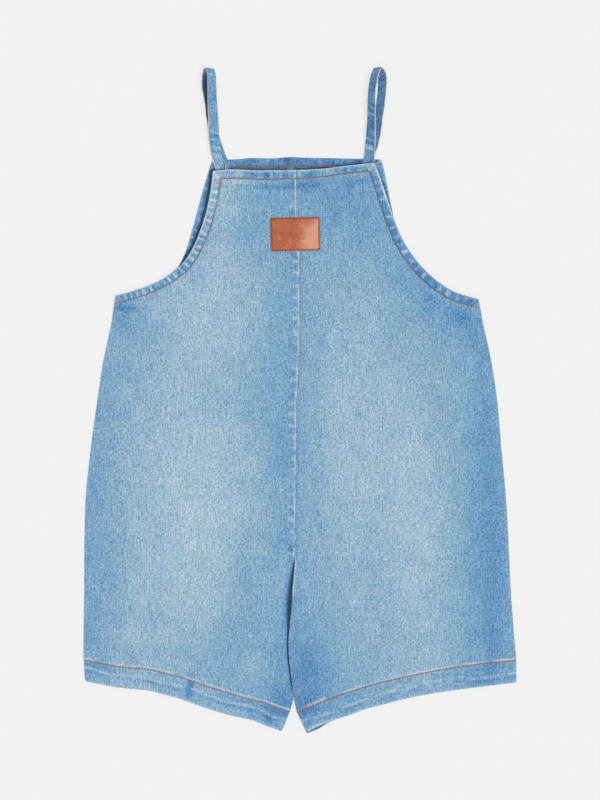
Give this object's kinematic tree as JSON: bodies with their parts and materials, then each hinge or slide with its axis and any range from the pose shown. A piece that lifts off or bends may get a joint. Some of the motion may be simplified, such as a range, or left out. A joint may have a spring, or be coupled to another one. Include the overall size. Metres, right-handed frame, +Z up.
{
  "type": "child's denim dungarees",
  "caption": "Short denim dungarees laid flat, front up: high square bib, two thin straps folded over in loops, deep armholes, wide legs with stitched hems and a small leather label.",
  "frame": {"origin": "on the surface the garment lies on, under the middle of its outline", "axes": "+Y from the legs to the straps, +X to the wearer's left, +Z up out of the front"},
  "size_m": [0.3901, 0.5993, 0.0177],
  "materials": {
    "denim": "stone-washed light blue denim, matte",
    "denim_inside": "inside of the denim, in the garment's shade, matte",
    "denim_strap": "mid blue denim, matte",
    "label_leather": "tan, smooth, slightly glossy"
  },
  "bodies": {
    "root": {"front_right": "denim", "front_left": "denim", "back_right": "denim_inside", "back_left": "denim_inside", "front_top_hem_right": "denim", "front_top_hem_left": "denim", "front_armhole_hem_right": "denim", "front_armhole_hem_left": "denim", "front_leg_hem_right": "denim", "front_leg_hem_left": "denim", "back_top_hem_right": "denim_inside", "back_top_hem_left": "denim_inside", "back_armhole_hem_right": "denim_inside", "back_armhole_hem_left": "denim_inside", "back_leg_hem_right": "denim_inside", "back_leg_hem_left": "denim_inside", "front_centre_seam": "denim", "back_centre_seam": "denim_inside", "strap_right": "denim_strap", "strap_left": "denim_strap", "label": "label_leather"}
  },
  "joints": []
}
